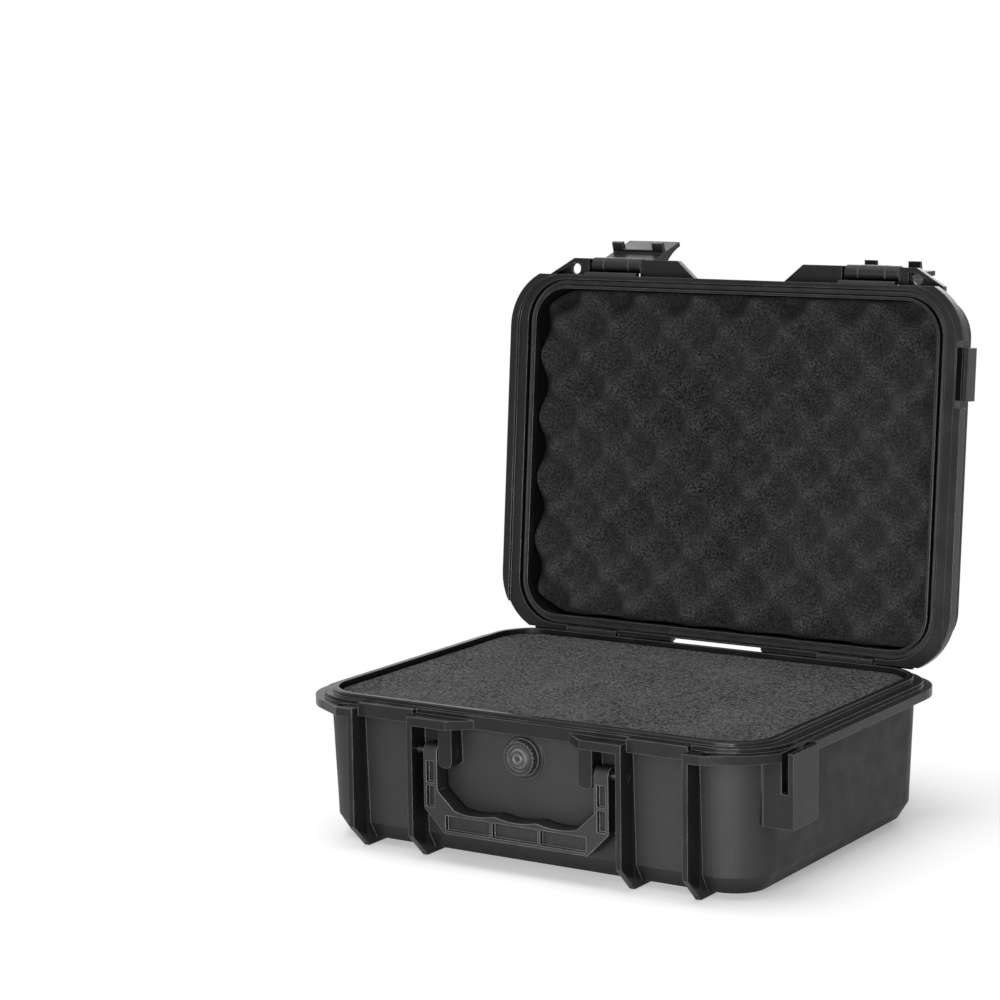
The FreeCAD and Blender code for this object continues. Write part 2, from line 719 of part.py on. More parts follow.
    # Inside of the lid, the seal's groove and its inner lip
    loft(body, "SubtractiveLoft", "Cavity", [
        (mouth_top, inner_x, inner_y, inner_corner),
        (lid_wall_top - d.lid_top_thick / 2, inner_x - d.lid_draft, inner_y - d.lid_draft,
         inner_corner - d.lid_draft),
        (lid_ceiling, inner_x - d.lid_draft - d.lid_chamfer_inset,
         inner_y - d.lid_draft - d.lid_chamfer_inset,
         inner_corner - d.lid_draft - d.lid_chamfer_inset),
    ])
    mouth = sketch_on(body, "Mouth", "XY_Plane", parting)
    pocket(body, "Mouth", rounded_rectangle(mouth, mouth_x, mouth_y, mouth_corner),
           mouth_top - parting, back=True)
    groove = sketch_on(body, "Groove", "XY_Plane", parting)
    rounded_rectangle(groove, tongue_x + groove_out, tongue_y + groove_out, tongue_corner + groove_out)
    rounded_rectangle(groove, inner_x - groove_out, inner_y - groove_out, inner_corner - groove_out)
    pocket(body, "Groove", groove, d.groove_depth, back=True)

    # Pin holes of the hinge and the latches
    hinge_hole = pocket(body, "HingeHole", disc(
        sketch_on(body, "HingeHole", "YZ_Plane", bay_in_x), hinge_y, hinge_z,
        d.hinge_pin_radius + d.running_clearance), bay_out_x - bay_in_x, back=True)
    latch_hole = pocket(body, "LatchHole", disc(
        sketch_on(body, "LatchHole", "YZ_Plane", rib_in_x - d.rib_thick), -latch_pin_y, latch_pin_z,
        d.latch_pin_radius), rib_gap + d.rib_thick * 2, back=True)
    mirrored(body, "PinHolesLeft", [hinge_hole, latch_hole], "YZ_Plane")
    body.Placement = lid_open
    return body


def make_gasket():
    body = new_body("lid_gasket")
    play = groove_out - d.gasket_play
    sketch = sketch_on(body, "Ring", "XY_Plane", groove_top - d.gasket_thick)
    rounded_rectangle(sketch, tongue_x + play, tongue_y + play, tongue_corner + play)
    rounded_rectangle(sketch, inner_x - play, inner_y - play, inner_corner - play)
    pad(body, "Ring", sketch, d.gasket_thick)
    body.Placement = lid_open
    return body


# Latches, drawn closed about the pin's axis

def make_latch(label, side, angle):
    body = new_body(label)
    hub = d.latch_hub
    hook_top = rim_low - d.latch_hook_play - latch_pin_z
    hook_low = hook_top - d.latch_hook_thick
    tip_z = -d.latch_length
    shoulder = -(hub * 2)
    profile = outline(sketch_on(body, "Side", "YZ_Plane"), [
        (ZERO, hub, hub), (-hub, ZERO), (-d.latch_body, shoulder),
        (-d.latch_body, hook_low, d.latch_scoop, True),
        (-d.latch_tip, tip_z), (-d.latch_inner, tip_z), (-d.latch_inner, hook_low),
        (d.latch_hook_reach, hook_low + d.latch_hook_thick / 3), (d.latch_hook_reach, hook_top),
        (-d.latch_inner, hook_top), (-d.latch_inner, -hub, hub), (hub, ZERO, hub),
    ])
    pad(body, "Plate", profile, d.latch_width, "Symmetric")
    bead = rectangle(sketch_on(body, "Bead", "YZ_Plane"),
                     d.latch_bead - d.latch_inner, hook_low, d.latch_hook_reach + d.latch_bead, hook_top)
    pocket(body, "Bead", bead, d.latch_width - d.latch_hook_width * 2, "Symmetric")
    neck = pocket(body, "Neck", rectangle(
        sketch_on(body, "Neck", "YZ_Plane", d.latch_neck / 2),
        -(d.latch_body + d.latch_bead), -d.latch_neck_drop, hub + d.latch_bead, hub + d.latch_bead),
        (d.latch_width - d.latch_neck) / 2, back=True)
    mirrored(body, "NeckLeft", [neck], "YZ_Plane")
    hole = disc(sketch_on(body, "PinHole", "YZ_Plane"), ZERO, ZERO,
                d.latch_pin_radius + d.running_clearance)
    pocket(body, "PinHole", hole, d.latch_width, "Symmetric")
    turned = FreeCAD.Rotation(X_AXIS, -angle.value)
    place = V(side * latch_x.value, -latch_pin_y.value, latch_pin_z.value)
    body.Placement = lid_open.multiply(FreeCAD.Placement(place, turned))
    return body


# Handle, hanging

def make_handle():
    body = new_body("carry_handle")
    low = d.handle_low
    grip_top = low + d.handle_grip
    top = handle_axis_z + d.handle_end
    arm_in = handle_half - d.handle_arm
    bevel = d.handle_bevel
    inner_bevel = bevel - d.handle_arm / 3
    flat = arm_in - inner_bevel
    pitch = flat * 2 / GRIP_PANELS
    # Finger scallops run along the grip from right to left, with narrow lands between them
    land = d.handle_edge / 2
    chord = pitch / 2 - land
    dip = d.handle_scallop_dip
    scallop_radius = (chord * chord + dip * dip) / (dip * 2)
    scallops = []
    for number in range(GRIP_PANELS):
        start = flat - pitch * number
        scallops += [(start - land, grip_top, scallop_radius, True), (start - pitch + land, grip_top)]
    profile = outline(sketch_on(body, "Loop", "XZ_Plane", handle_front), [
        (-(handle_half - bevel), low), (handle_half - bevel, low), (handle_half, low + bevel),
        (handle_half, top), (arm_in, top), (arm_in, grip_top + inner_bevel),
        *scallops,
        (-arm_in, grip_top + inner_bevel), (-arm_in, top), (-handle_half, top),
        (-handle_half, low + bevel),
    ])
    loop = pad(body, "Loop", profile, d.handle_thick, back=True)

    # Arms end round about the pivot
    def at_top(edge):
        box = edge.BoundBox
        return box.ZMin > top.value - 0.01 and box.XLength > d.handle_arm.value / 2

    fillet(body, "ArmEnds", loop, at_top, d.handle_end)

    # Recessed panels on the front and the back of the grip and of the arms
    edge = d.handle_edge
    cells = []
    span = (handle_half - bevel) * 2 / GRIP_PANELS
    for number in range(GRIP_PANELS):
        start = span * number - (handle_half - bevel)
        cells.append([(start + edge / 2, low + edge), (start + span - edge / 2, low + edge),
                      (start + span - edge / 2, grip_top - edge - dip),
                      (start + edge / 2, grip_top - edge - dip)])
    arm_low = low + bevel + edge / 2
    arm_high = handle_axis_z - d.handle_end
    arm_mid = (arm_low + arm_high) / 2
    for side in (-1, 1):
        for low_z, high_z in ((arm_low, arm_mid - edge / 2), (arm_mid + edge / 2, arm_high)):
            xs = sorted((arm_in * side + edge * side, handle_half * side - edge * side),
                        key=lambda item: item.value)
            cells.append([(xs[0], low_z), (xs[1], low_z), (xs[1], high_z), (xs[0], high_z)])
    for name, place, back in (("Front", handle_front, False),
                              ("Rear", handle_front - d.handle_thick, True)):
        sketch = sketch_on(body, "Panels" + name, "XZ_Plane", place)
        for cell in cells:
            outline(sketch, cell)
        pocket(body, "Panels" + name, sketch, d.handle_panel, back=back)
    hole = disc(sketch_on(body, "PinHole", "YZ_Plane"), -handle_axis_y, handle_axis_z,
                d.handle_pin_radius + d.running_clearance)
    pocket(body, "PinHole", hole, handle_half * 2, "Symmetric")
    return body


# Pins

def make_pin(label, radius, low_x, high_x, y, z, pose=None):
    pin = doc.addObject("Part::Cylinder", label)
    pin.Label = label
    pin.setExpression("Radius", (radius - d.running_clearance / 2).formula)
    pin.setExpression("Height", (high_x - low_x).formula)
    place = FreeCAD.Placement(V(low_x.value, y.value, z.value), FreeCAD.Rotation(V(0, 0, 1), X_AXIS))
    pin.Placement = pose.multiply(place) if pose else place
    return pin


def make_pins():
    pins = []
    for name, side in (("left", -1), ("right", 1)):
        def span(low_x, high_x):
            return (low_x, high_x) if side > 0 else (-high_x, -low_x)

        pins.append(make_pin(f"hinge_pin_{name}", d.hinge_pin_radius,
                             *span(bay_in_x + d.ear_margin, bay_out_x - d.ear_margin), hinge_y, hinge_z))
        pins.append(make_pin(f"handle_pin_{name}", d.handle_pin_radius,
                             *span(lug_in_x, bay_in_x), -handle_axis_y, handle_axis_z))
        pins.append(make_pin(f"latch_pin_{name}", d.latch_pin_radius,
                             *span(rib_in_x - d.rib_thick / 2, rib_out_x + d.rib_thick / 2),
                             -latch_pin_y, latch_pin_z, lid_open))
    return pins


# Pressure valve, turned about its own axis along Y

def turned(label, profile):
    """Revolved piece: profile points are radius and distance in front of the case's middle."""
    body = new_body(label)
    sketch = sketch_on(body, "Half", "XY_Plane", valve_z)
    outline(sketch, [(radius, -front) for radius, front in profile])
    feature = body.newObject("PartDesign::Revolution", "Turned")
    feature.Profile = sketch
    feature.ReferenceAxis = (sketch, ["V_Axis"])
    feature.Angle = 360
    return body


def make_valve_bushing():
    return turned("valve_bushing", [
        (d.valve_bore_radius, bush_front), (d.valve_bore_radius, bush_back),
        (d.valve_shank_radius, bush_back), (d.valve_shank_radius, boss_front),
        (d.valve_flange_radius, boss_front), (d.valve_flange_radius, bush_front),
    ])


def make_valve_washer():
    return turned("valve_washer", [
        (d.valve_shank_radius + d.running_clearance, wall_inside),
        (d.valve_shank_radius + d.running_clearance, wall_inside - d.valve_washer_thick),
        (d.valve_washer_radius, wall_inside - d.valve_washer_thick),
        (d.valve_washer_radius, wall_inside),
    ])


def make_valve_nut():
    body = new_body("valve_nut")
    nut_front = wall_inside - d.valve_washer_thick
    sketch = sketch_on(body, "Hex", "XZ_Plane", nut_front)
    across = d.valve_nut_flat * 2 / size_of(3).root()
    hexagon = []
    for number in range(6):
        turn = math.radians(60 * number)
        hexagon.append((across * math.cos(turn), valve_z + across * math.sin(turn)))
    outline(sketch, hexagon)
    disc(sketch, ZERO, valve_z, d.valve_shank_radius + d.running_clearance)
    pad(body, "Hex", sketch, d.valve_nut_thick, back=True)
    return body


def make_valve_knob():
    stem = d.valve_bore_radius - d.running_clearance
    groove_floor = knob_front - d.knob_ring_depth
    body = turned("valve_knob", [
        (ZERO, knob_front), (ZERO, bush_back), (stem, bush_back), (stem, knob_back),
        (d.knob_radius, knob_back), (d.knob_radius, knob_front),
        (d.knob_ring_outer, knob_front), (d.knob_ring_outer, groove_floor),
        (d.knob_ring_inner, groove_floor), (d.knob_ring_inner, knob_front),
    ])
    notch = pocket(body, "Notch", disc(
        sketch_on(body, "Notch", "XZ_Plane", knob_front),
        d.knob_radius, valve_z, d.knob_notch), d.knob_thick)
    ring = body.newObject("PartDesign::PolarPattern", "Knurl")
    ring.Originals = [notch]
    ring.Axis = (body.Group[0], ["V_Axis"])
    ring.Angle = 360
    ring.Occurrences = KNOB_NOTCHES
    body.Tip = ring
    return body


def make_o_ring():
    """The seal lies in a seat in the boss, under the bushing's flange."""
    ring = doc.addObject("Part::Torus", "valve_o_ring")
    ring.Label = "valve_o_ring"
    ring.setExpression("Radius1", ring_radius.formula)
    ring.setExpression("Radius2", d.o_ring_radius.formula)
    ring.Placement = FreeCAD.Placement(
        V(0, -(boss_front - seat_depth / 2).value, valve_z.value),
        FreeCAD.Rotation(V(0, 0, 1), V(0, 1, 0)))
    return ring


# Foam

def make_foam_pad():
    body = new_body("base_foam_pad")
    gap = d.foam_gap
    low_inset = d.base_draft + d.base_chamfer_inset + gap
    high_inset = d.base_draft + gap
    loft(body, "AdditiveLoft", "Pad", [
        (floor_z + gap, inner_x - low_inset, inner_y - low_inset, inner_corner - low_inset),
        (floor_z + d.pad_thick, inner_x - high_inset, inner_y - high_inset, inner_corner - high_inset),
    ])
    return body


def make_foam_block():
    body = new_body("base_foam_block")
    gap = d.foam_gap
    low_inset = d.base_draft + gap
    loft(body, "AdditiveLoft", "Block", [
        (floor_z + d.pad_thick + gap, inner_x - low_inset, inner_y - low_inset, inner_corner - low_inset),
        (parting - d.foam_below_rim, inner_x - gap, inner_y - gap, inner_corner - gap),
    ])
    relief = disc(sketch_on(body, "ValveRelief", "XZ_Plane", inner_y), ZERO, valve_z, d.valve_relief)
    pocket(body, "ValveRelief", relief, inner_y - bush_back + d.valve_relief / 2)
    return body


def make_lid_foam():
    """Egg-crate foam: peaks and hollows alternate on a grid, with a half-height point between."""
    blank = new_body("lid_foam_blank")
    gap = d.foam_gap
    foam_x = mouth_x - gap
    foam_y = mouth_y - gap
    foam_corner = mouth_corner - gap
    slope = d.lid_chamfer_inset + gap
    peak = parting + d.egg_above_rim
    loft(blank, "AdditiveLoft", "Blank", [
        (parting, foam_x, foam_y, foam_corner),
        (lid_wall_top - d.lid_top_thick, foam_x, foam_y, foam_corner),
        (lid_ceiling - gap, foam_x - slope, foam_y - slope, foam_corner - slope),
    ])
    doc.recompute()
    step_x = d.egg_pitch_x.value / 2
    step_y = d.egg_pitch_y.value / 2
    start_x = -d.egg_shift_x.value
    start_y = -d.egg_shift_y.value
    count_x = math.ceil((foam_x + d.egg_shift_x).value / step_x)
    count_y = math.ceil((foam_y + d.egg_shift_y).value / step_y)
    half_height = d.egg_height.value / 2
    middle = peak.value + half_height
    top = panel_z.value

    def node(column, row):
        sign = 1 if (column + row) % 2 else -1
        return V(start_x + column * step_x, start_y + row * step_y, middle + sign * half_height)

    def centre(column, row):
        return V(start_x + (column + 0.5) * step_x, start_y + (row + 0.5) * step_y, middle)

    def face(*corners):
        return Part.Face(Part.makePolygon([*corners, corners[0]]))

    faces = []
    for column in range(-count_x, count_x):
        for row in range(-count_y, count_y):
            ring = [node(column, row), node(column + 1, row),
                    node(column + 1, row + 1), node(column, row + 1)]
            for number in range(4):
                faces.append(face(ring[number], ring[(number + 1) % 4], centre(column, row)))
    border = [node(column, -count_y) for column in range(-count_x, count_x)]
    border += [node(count_x, row) for row in range(-count_y, count_y)]
    border += [node(column, count_y) for column in range(count_x, -count_x, -1)]
    border += [node(-count_x, row) for row in range(count_y, -count_y, -1)]
    raised = [V(point.x, point.y, top) for point in border]
    for number in range(len(border)):
        after = (number + 1) % len(border)
        faces.append(face(border[number], border[after], raised[after], raised[number]))
    faces.append(face(*raised))
    shell = Part.makeShell(faces)
    shell.sewShape()
    crate = Part.makeSolid(Part.Shell(shell.Faces))
    foam = doc.addObject("Part::Feature", "lid_foam")
    foam.Label = "lid_foam"
    foam.Shape = crate.common(blank.Shape)
    foam.Placement = lid_open
    return foam


pieces = [
    make_base_shell(),
    make_lid_shell(),
    make_gasket(),
    make_latch("latch_left", -1, d.latch_left_angle),
    make_latch("latch_right", 1, d.latch_right_angle),
    make_handle(),
    *make_pins(),
    make_valve_bushing(),
    make_valve_washer(),
    make_valve_nut(),
    make_valve_knob(),
    make_o_ring(),
    make_foam_pad(),
    make_foam_block(),
    make_lid_foam(),
]
doc.recompute()

for item in doc.Objects:
    if "Invalid" in item.State or "Error" in item.State:
        raise RuntimeError(f"{item.Label} failed: {item.State}")
for piece in pieces:
    if piece.Shape.isNull() or not piece.Shape.isValid():
        raise RuntimeError(f"{piece.Label} has no valid shape")

os.makedirs("parts", exist_ok=True)
for piece in pieces:
    piece.Shape.exportStep(f"parts/{piece.Label}.step")
    print(f"{piece.Label}: {len(piece.Shape.Solids)} solid, {piece.Shape.Volume:.0f} mm3")
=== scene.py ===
import json
import math
import bpy
from mathutils import Matrix, Vector, noise


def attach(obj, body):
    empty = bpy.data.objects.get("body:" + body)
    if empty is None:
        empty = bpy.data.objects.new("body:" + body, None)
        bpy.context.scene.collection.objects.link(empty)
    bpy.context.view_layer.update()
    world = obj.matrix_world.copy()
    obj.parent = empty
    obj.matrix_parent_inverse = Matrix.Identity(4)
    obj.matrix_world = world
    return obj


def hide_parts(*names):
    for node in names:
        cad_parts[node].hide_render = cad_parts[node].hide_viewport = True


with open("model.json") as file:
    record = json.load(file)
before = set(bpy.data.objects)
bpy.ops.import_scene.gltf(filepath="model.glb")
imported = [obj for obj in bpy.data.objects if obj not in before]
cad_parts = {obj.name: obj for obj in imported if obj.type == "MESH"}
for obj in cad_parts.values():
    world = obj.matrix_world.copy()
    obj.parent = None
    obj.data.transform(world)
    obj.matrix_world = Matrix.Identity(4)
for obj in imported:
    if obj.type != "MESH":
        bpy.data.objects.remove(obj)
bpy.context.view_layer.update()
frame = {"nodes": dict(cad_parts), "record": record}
nodes = frame["nodes"]
scene = bpy.context.scene

# Sizes in metres, as in the part's source; the lid is drawn closed, then turned about its hinge
HINGE = Vector((0, 0.1015, 0.0785))
LID_OPEN = math.radians(95)
PARTING = 0.077
INNER_X, INNER_Y, INNER_CORNER = 0.126, 0.095, 0.0215
TONGUE_WIDTH = 0.003
BASE_DRAFT = 0.0025
WALL_X, WALL_Y, WALL_CORNER = 0.1295, 0.0985, 0.025
ANY_HEIGHT = 1.0
WALL_CORE = (WALL_X - WALL_CORNER, WALL_Y - WALL_CORNER, ANY_HEIGHT)
RIM_BOTTOM, FLANGE_TOP = 0.0699, 0.0826
PANEL_BLEND = 0.0004
EDGE_ROUND = 0.0008
CHAMFER = 0.0055
FOAM_GAP = 0.0004
FLOOR_Z = 0.0065
PAD_TOP = 0.016
FOAM_TOP = PARTING - FOAM_GAP
FOAM_EDGE = 0.0018
MOUTH_INSET = 0.0019
LID_FOAM_MOUTH = 0.100
LID_FOAM_SIDE = 0.110
LID_FOAM_BACK = 0.1216
LID_FOAM_SLOPE = 0.0114
EGG_STEP_X, EGG_STEP_Y = 0.01785, 0.0176
EGG_PEAK_X, EGG_PEAK_Y = -0.0035, -0.0017
EGG_PEAK_Z = PARTING + 0.001
EGG_HEIGHT = 0.014
EGG_CLEARANCE = 0.0007
EGG_EDGE = 0.0016
EGG_STEP = 0.0016
GASKET_TOP = PARTING + 0.004
GASKET_THICK = 0.0016
VALVE_Z = 0.059
KNOB_FRONT = 0.1038
CAP_FACETS = 64
RELIEF_RADIUS, RELIEF_DEPTH, RELIEF_STEEPNESS = 0.014, 0.0135, 6
RELIEF_ZONE_Y = -0.07
LATCH_X = 0.07935
LATCH_PIN_Y, LATCH_PIN_Z = -0.107, 0.092
LATCH_NECK, LATCH_WIDTH = 0.016, 0.033
LATCH_PLAY = 0.0004
LATCH_HUB = 0.0043
PIN_HOLE = 0.0018
SLEEVE_FACETS, SLEEVE_ROUND = 40, 0.0007
LEDGE_Y = (-0.1003, -0.1028)
LEDGE_Z = (0.0816, 0.0862)
SKIRT_SPANS = ((0.0283, 0.0620), (0.0970, 0.1180))

# Studio: metres, watts and degrees
FOOTPRINT = (0.125, 0.10, 0)
FLOOR_RADIUS, FLOOR_DROP, FLOOR_FADE = 3.0, 0.0002, 0.11
FLOOR_COLOUR, FLOOR_GLOW = (0.97, 0.97, 0.97, 1), 0.25
WHITE = (1, 1, 1, 1)
WORLD_FILL = 0.14
CAMERA_TURN, CAMERA_RISE, CAMERA_ROLL = 32.92, 8.71, -0.79
CAMERA_TARGET, CAMERA_DISTANCE = Vector((-0.07585, 0, 0.16889)), 1.51288
CAMERA_LENS, CAMERA_SENSOR = 102.12, 36
LAMPS = (
    ("key", (-0.1, -0.2, 1.6), (0, 0, 0.1), (1.6, 1.4), 15),
    ("front", (0.10, -0.90, 0.12), (0, 0, 0.05), (0.4, 0.25), 7),
    ("strip", (0.42, -0.85, 0.10), (0.11, -0.08, 0.04), (0.05, 0.24), 5.5),
    ("side", (1.3, 0.9, 0.5), (0.1, 0, 0.05), (0.8, 0.8), 0.8),
    ("rear", (-0.3, 1.6, 0.9), (0, 0.1, 0.15), (1.6, 1.0), 9),
    ("left", (-1.4, 0.0, 0.6), (0, 0, 0.1), (1.0, 0.8), 5),
)


# Materials

class Graph:
    """Short way to add nodes to a new material and join them."""

    def __init__(self, name):
        self.material = bpy.data.materials.new(name)
        self.material.use_nodes = True
        self.tree = self.material.node_tree
        self.shader = self.tree.nodes["Principled BSDF"]
        self.coords = self.add("ShaderNodeTexCoord").outputs["Object"]

    def join(self, value, socket):
        if isinstance(value, bpy.types.NodeSocket):
            self.tree.links.new(value, socket)
        else:
            socket.default_value = value

    def add(self, kind, inputs=None, **settings):
        node = self.tree.nodes.new(kind)
        for key, value in settings.items():
            setattr(node, key, value)
        for key, value in (inputs or {}).items():
            self.join(value, node.inputs[key])
        return node

    def noise(self, scale, detail=2.0, rough=0.5):
        return self.add("ShaderNodeTexNoise", {
            "Vector": self.coords, "Scale": scale, "Detail": detail, "Roughness": rough}).outputs["Fac"]

    def span(self, value, low, high, to_low=0.0, to_high=1.0):
        return self.add("ShaderNodeMapRange", {
            "Value": value, "From Min": low, "From Max": high,
            "To Min": to_low, "To Max": to_high}).outputs["Result"]

    def mix(self, factor, first, second):
        node = self.add("ShaderNodeMix", data_type="RGBA")
        self.join(factor, node.inputs[0])
        self.join(first, node.inputs[6])
        self.join(second, node.inputs[7])
        return node.outputs[2]

    def math(self, operation, first, second=0.0):
        return self.add("ShaderNodeMath", {0: first, 1: second}, operation=operation).outputs[0]

    def bump(self, height, strength, distance, normal=None):
        inputs = {"Height": height, "Strength": strength, "Distance": distance}
        if normal is not None:
            inputs["Normal"] = normal
        return self.add("ShaderNodeBump", inputs).outputs["Normal"]

    def beyond(self, coords, core):
        """Distance outside a box about the origin, given by its half sizes."""
        for operation, second in (("ABSOLUTE", (0, 0, 0)), ("SUBTRACT", core), ("MAXIMUM", (0, 0, 0))):
            node = self.add("ShaderNodeVectorMath", {0: coords, 1: second}, operation=operation)
            coords = node.outputs["Vector"]
        return self.add("ShaderNodeVectorMath", {0: coords}, operation="LENGTH").outputs["Value"]

    def set(self, **sockets):
        for key, value in sockets.items():
            self.join(value, self.shader.inputs[key.replace("_", " ")])
        return self.material


def grey(value, warm=0.0):
    """Grey in linear light, tinted a little towards red."""
    return (value * (1 + warm), value, value * (1 + warm * 0.4), 1)


PANEL_DARK, PANEL_LIGHT = grey(0.0175, 0.03), grey(0.024, 0.03)
# The pale colours serve both as flecks in the grain and as painted highlights along edges.
SMOOTH_DARK, SMOOTH_LIGHT, FLECK_AND_HIGHLIGHT = grey(0.008, 0.03), grey(0.013, 0.03), grey(0.10, 0.01)
FITTING_DARK, FITTING_LIGHT, FITTING_FLECK_AND_HIGHLIGHT = grey(0.014, 0.02), grey(0.020, 0.02), grey(0.18, 0.01)


def on_wall(g, coords):
    """1 on the walls, 0 on what stands off them."""
    reach = g.beyond(coords, WALL_CORE)
    return g.span(reach, WALL_CORNER + PANEL_BLEND, WALL_CORNER + 2.5 * PANEL_BLEND, 1.0, 0.0)


def base_panels(g):
    """1 on the base's grained walls, 0 on its smooth rim, ribs and lugs."""
    height = g.add("ShaderNodeSeparateXYZ", {"Vector": g.coords}).outputs["Z"]
    below_rim = g.span(height, RIM_BOTTOM - PANEL_BLEND, RIM_BOTTOM, 1.0, 0.0)
    return g.math("MULTIPLY", on_wall(g, g.coords), below_rim)


def lid_panels(g):
    """1 on the lid's grained walls and top, 0 on its smooth flange, ribs and lugs."""
    shift = HINGE - Matrix.Rotation(LID_OPEN, 3, "X") @ HINGE
    closed = g.add("ShaderNodeMapping", {
        "Vector": g.coords, "Rotation": (LID_OPEN, 0, 0), "Location": shift}).outputs["Vector"]
    height = g.add("ShaderNodeSeparateXYZ", {"Vector": closed}).outputs["Z"]
    above_flange = g.span(height, FLANGE_TOP, FLANGE_TOP + PANEL_BLEND)
    return g.math("MULTIPLY", on_wall(g, closed), above_flange)


def plastic(name, dark, light, fleck_and_highlight, rough, panels=None):
    """Moulded plastic: cloudy tone, fine grain, painted highlights on rounded edges and painted shade in
    hollows.
    Its panels, where it has any, are paler, rougher and more strongly grained."""
    g = Graph(name)
    round_normal = g.add("ShaderNodeBevel", {"Radius": EDGE_ROUND}, samples=6).outputs["Normal"]
    flat_normal = g.add("ShaderNodeNewGeometry").outputs["True Normal"]
    turn = g.add("ShaderNodeVectorMath", {0: round_normal, 1: flat_normal}, operation="DOT_PRODUCT")
    patches = g.span(g.noise(70, 4), 0.35, 0.65)
    # Painted highlight: rounded edges, found by how far the bevelled normal turns, are lightened towards
    # the pale colour in patches.
    painted_edge_highlight = g.math("MULTIPLY", g.span(turn.outputs["Value"], 0.99, 0.85), g.span(patches, 0, 1, 0.5, 1.0))
    cloud = g.span(g.noise(9, 5, 0.6), 0.3, 0.7)
    fleck = g.span(g.noise(1900, 2), 0.5, 0.75, 0.0, 0.12)
    body = g.mix(cloud, dark, light)
    roughness = g.span(patches, 0, 1, rough - 0.05, rough + 0.06)
    fine = g.math("MULTIPLY", g.noise(1300, 3), 0.7)
    height = g.math("ADD", fine, g.math("MULTIPLY", g.noise(240, 2), 0.3))
    if panels:
        wall = panels(g)
        grained = g.mix(fleck, g.mix(cloud, PANEL_DARK, PANEL_LIGHT), fleck_and_highlight)
        body = g.mix(wall, body, grained)
        roughness = g.math("ADD", roughness, g.math("MULTIPLY", wall, 0.28))
        height = g.math("MULTIPLY", height, g.span(wall, 0, 1, 0.4, 1.2))
    else:
        body = g.mix(fleck, body, fleck_and_highlight)
    # Painted shade: ambient occlusion darkens hollows, creases and the bays between ribs towards a
    # near-black tone.
    hollow = g.add("ShaderNodeAmbientOcclusion", {"Distance": 0.02}, samples=6).outputs["AO"]
    body = g.mix(g.span(hollow, 0.25, 0.85), grey(dark[1] * 0.4), body)
    return g.set(
        Base_Color=g.mix(painted_edge_highlight, body, fleck_and_highlight), Roughness=roughness, Specular_IOR_Level=0.16,
        Normal=g.bump(height, 0.28, 0.0004, round_normal),
    )


def foam(name, pore_and_shade, strut, cell):
    """Open-cell foam: dark pores between paler struts, a slow cloudy change of tone, painted shade in
    the pits.
    """
    g = Graph(name)
    fine = g.noise(0.9 / cell, 3, 0.7)
    cells = g.add("ShaderNodeTexVoronoi", {"Vector": g.coords, "Scale": 1 / cell}).outputs["Distance"]
    cloud = g.span(g.noise(22, 4), 0.3, 0.7)
    tone = g.mix(g.span(fine, 0.42, 0.58), grey(pore_and_shade, 0.04), grey(strut, 0.04))
    tone = g.mix(g.span(cells, 0.1, 0.75, 0.0, 0.45), tone, grey(pore_and_shade, 0.04))
    tone = g.mix(g.math("MULTIPLY", cloud, 0.25), tone, grey(strut, 0.04))
    # Painted shade: ambient occlusion darkens the pits and hollows towards the pore tone.
    painted_pit_shade = g.add("ShaderNodeAmbientOcclusion", {"Distance": 0.014}, samples=6).outputs["AO"]
    tone = g.mix(g.span(painted_pit_shade, 0.35, 0.95, 0.7, 0.0), tone, grey(pore_and_shade, 0.04))
    height = g.math("SUBTRACT", g.math("MULTIPLY", fine, 1.4), g.math("MULTIPLY", cells, 0.5))
    return g.set(
        Base_Color=tone, Roughness=0.95, Specular_IOR_Level=0.1,
        Normal=g.bump(height, 0.6, 0.0008),
    )


def rubber(name):
    """Soft black rubber with a faint grain and an uneven sheen."""
    g = Graph(name)
    tone = g.mix(g.span(g.noise(120, 4), 0.35, 0.65), grey(0.012), grey(0.022))
    return g.set(
        Base_Color=tone, Specular_IOR_Level=0.2,
        Roughness=g.span(g.noise(60, 3), 0.3, 0.7, 0.45, 0.62),
        Normal=g.bump(g.noise(2500, 2), 0.15, 0.0002),
    )


def dark_steel(name):
    """Blackened pin: fine marks along its length."""
    g = Graph(name)
    along = g.add("ShaderNodeMapping", {"Vector": g.coords, "Scale": (40, 2600, 2600)}).outputs["Vector"]
    marks = g.add("ShaderNodeTexNoise", {"Vector": along, "Scale": 1.0, "Detail": 3.0}).outputs["Fac"]
    tone = g.mix(g.span(marks, 0.3, 0.7), grey(0.05), grey(0.09))
    return g.set(
        Base_Color=tone, Metallic=1.0, Roughness=g.span(marks, 0.3, 0.7, 0.35, 0.5),
        Normal=g.bump(marks, 0.1, 0.0001),
    )


base_shell = plastic("base_plastic", SMOOTH_DARK, SMOOTH_LIGHT, FLECK_AND_HIGHLIGHT, 0.25, base_panels)
lid_shell = plastic("lid_plastic", SMOOTH_DARK, SMOOTH_LIGHT, FLECK_AND_HIGHLIGHT, 0.25, lid_panels)
fittings = plastic("fitting_plastic", FITTING_DARK, FITTING_LIGHT, FITTING_FLECK_AND_HIGHLIGHT, 0.36)
seal = rubber("seal_rubber")
base_foam = foam("base_foam", 0.002, 0.20, 0.0012)
lid_foam = foam("lid_foam", 0.004, 0.056, 0.0010)

FINISH = {
    "shell": base_shell, "fittings": fittings, "seal": seal, "foam": base_foam,
    "steel": dark_steel("pin_steel"),
}
NODE_FINISH = {"lid_shell": lid_shell}
for entry in frame["record"]["subparts"]:
    mesh = nodes[entry["node"]].data
    mesh.materials.clear()
    mesh.materials.append(NODE_FINISH.get(entry["node"], FINISH[entry["material_slot"]]))


# Meshes

